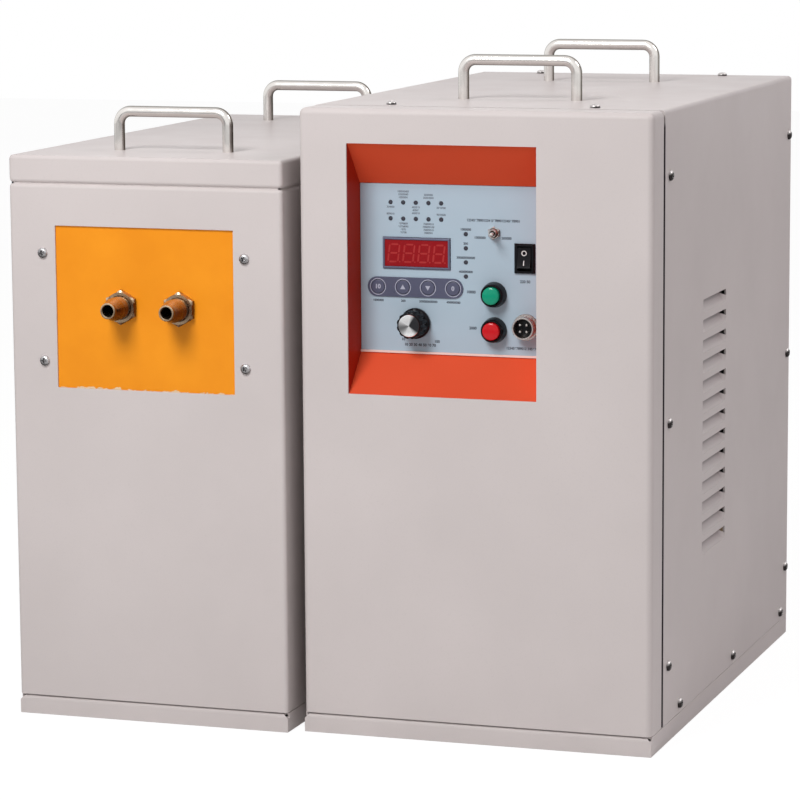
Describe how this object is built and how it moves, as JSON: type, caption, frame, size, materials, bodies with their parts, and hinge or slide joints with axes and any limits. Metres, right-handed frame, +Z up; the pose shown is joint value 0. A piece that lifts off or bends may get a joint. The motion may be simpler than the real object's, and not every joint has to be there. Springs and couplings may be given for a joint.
{
  "type": "induction heating machine",
  "caption": "Split induction heating machine: a grey sheet-metal power cabinet with recessed controls beside a smaller heating station with brass coil outlets.",
  "frame": {"origin": "centre of the floor rectangle that holds both cabinets with everything that stands out of them", "axes": "+Z up, the fronts with controls and outlets face -Y, +X to the right seen from the front"},
  "size_m": [0.4838, 0.4946, 0.4825],
  "materials": {
    "cabinet_paint": "warm light grey powder coat",
    "recess_paint": "red-orange powder coat",
    "outlet_board": "orange painted insulating board",
    "panel_film": "printed polycarbonate film",
    "display_frame": "dark moulded",
    "display_lens": "deep red filter",
    "keypad": "dark film",
    "black_plastic": "moulded",
    "aluminium": "spun",
    "nickel": "nickel plated",
    "steel": "satin",
    "zinc_steel": "zinc plated",
    "brass": "machined",
    "green_plastic": "translucent cap",
    "red_plastic": "translucent cap",
    "circuit_board": "solder mask",
    "lamp": "unlit lamp",
    "ferrite": "sintered",
    "copper": "bare copper",
    "winding": "varnished wrap",
    "capacitor": "moulded case",
    "grey_plastic": "moulded",
    "insulating_board": "phenolic board"
  },
  "bodies": {
    "cabinets": {"power_plinth": "cabinet_paint", "power_chassis_tray": "zinc_steel", "power_front_panel": "cabinet_paint", "power_cover": "cabinet_paint", "power_rear_panel": "cabinet_paint", "power_handle_front": "nickel", "power_handle_rear": "nickel", "power_cover_screws": "nickel", "control_bezel": "recess_paint", "control_panel": "panel_film", "status_leds": "lamp", "display_frame": "display_frame", "display_lens": "display_lens", "keypad_overlay": "keypad", "control_board": "circuit_board", "potentiometer": "steel", "toggle_housing": "steel", "rocker_housing": "black_plastic", "button_housings": "black_plastic", "remote_socket_shell": "nickel", "remote_socket_insert": "black_plastic", "panel_nuts": "steel", "cold_plate": "copper", "power_modules": "black_plastic", "dc_capacitors": "capacitor", "control_transformer": "ferrite", "fan_housing": "black_plastic", "circuit_breaker": "grey_plastic", "cable_gland": "grey_plastic", "station_plinth": "cabinet_paint", "station_chassis_tray": "zinc_steel", "station_body": "cabinet_paint", "station_lid": "cabinet_paint", "station_rear_panel": "cabinet_paint", "station_handle_front": "nickel", "station_handle_rear": "nickel", "station_screws": "nickel", "outlet_board": "outlet_board", "outlet_nipples": "brass", "outlet_nuts": "brass", "transformer_core": "ferrite", "transformer_windings": "winding", "resonant_capacitors": "capacitor", "terminal_boards": "insulating_board", "terminal_studs": "copper", "water_fittings": "brass"},
    "knob": {"power_knob": "black_plastic", "knob_cap": "aluminium", "potentiometer_shaft": "steel"},
    "toggle": {"toggle_lever": "nickel"},
    "rocker": {"rocker_paddle": "black_plastic"},
    "start_button": {"start_button_cap": "green_plastic"},
    "stop_button": {"stop_button_cap": "red_plastic"},
    "breaker": {"breaker_lever": "black_plastic"},
    "fan": {"fan_rotor": "black_plastic"},
    "key_1": {"display_key_1": "keypad"},
    "key_2": {"display_key_2": "keypad"},
    "key_3": {"display_key_3": "keypad"},
    "key_4": {"display_key_4": "keypad"}
  },
  "joints": [
    {"name": "key_1_press", "type": "slide", "parent": "cabinets", "child": "key_1", "axis": [0, 1, 0], "range_m": [0, 0.0004], "stiffness_N_per_m": 1500},
    {"name": "key_2_press", "type": "slide", "parent": "cabinets", "child": "key_2", "axis": [0, 1, 0], "range_m": [0, 0.0004], "stiffness_N_per_m": 1500},
    {"name": "key_3_press", "type": "slide", "parent": "cabinets", "child": "key_3", "axis": [0, 1, 0], "range_m": [0, 0.0004], "stiffness_N_per_m": 1500},
    {"name": "key_4_press", "type": "slide", "parent": "cabinets", "child": "key_4", "axis": [0, 1, 0], "range_m": [0, 0.0004], "stiffness_N_per_m": 1500},
    {"name": "knob_turn", "type": "hinge", "parent": "cabinets", "child": "knob", "pos_m": [0.0588, -0.19375, 0.2964], "axis": [0, 1, 0], "range_deg": [-150, 150]},
    {"name": "toggle_throw", "type": "hinge", "parent": "cabinets", "child": "toggle", "pos_m": [0.1172, -0.18925, 0.3624], "axis": [0, 0, 1], "range_deg": [-24, 0]},
    {"name": "rocker_throw", "type": "hinge", "parent": "cabinets", "child": "rocker", "pos_m": [0.1396, -0.18475, 0.3449], "axis": [1, 0, 0], "range_deg": [0, 18]},
    {"name": "start_press", "type": "slide", "parent": "cabinets", "child": "start_button", "axis": [0, 1, 0], "range_m": [0, 0.0025], "stiffness_N_per_m": 600, "springref_m": -0.001},
    {"name": "stop_press", "type": "slide", "parent": "cabinets", "child": "stop_button", "axis": [0, 1, 0], "range_m": [0, 0.0025], "stiffness_N_per_m": 600, "springref_m": -0.001},
    {"name": "breaker_throw", "type": "hinge", "parent": "cabinets", "child": "breaker", "pos_m": [0.0435, 0.21725, 0.35], "axis": [1, 0, 0], "range_deg": [-70, 0]},
    {"name": "fan_spin", "type": "hinge", "parent": "cabinets", "child": "fan", "pos_m": [0.1595, 0.18625, 0.352], "axis": [0, 1, 0], "continuous": true}
  ]
}
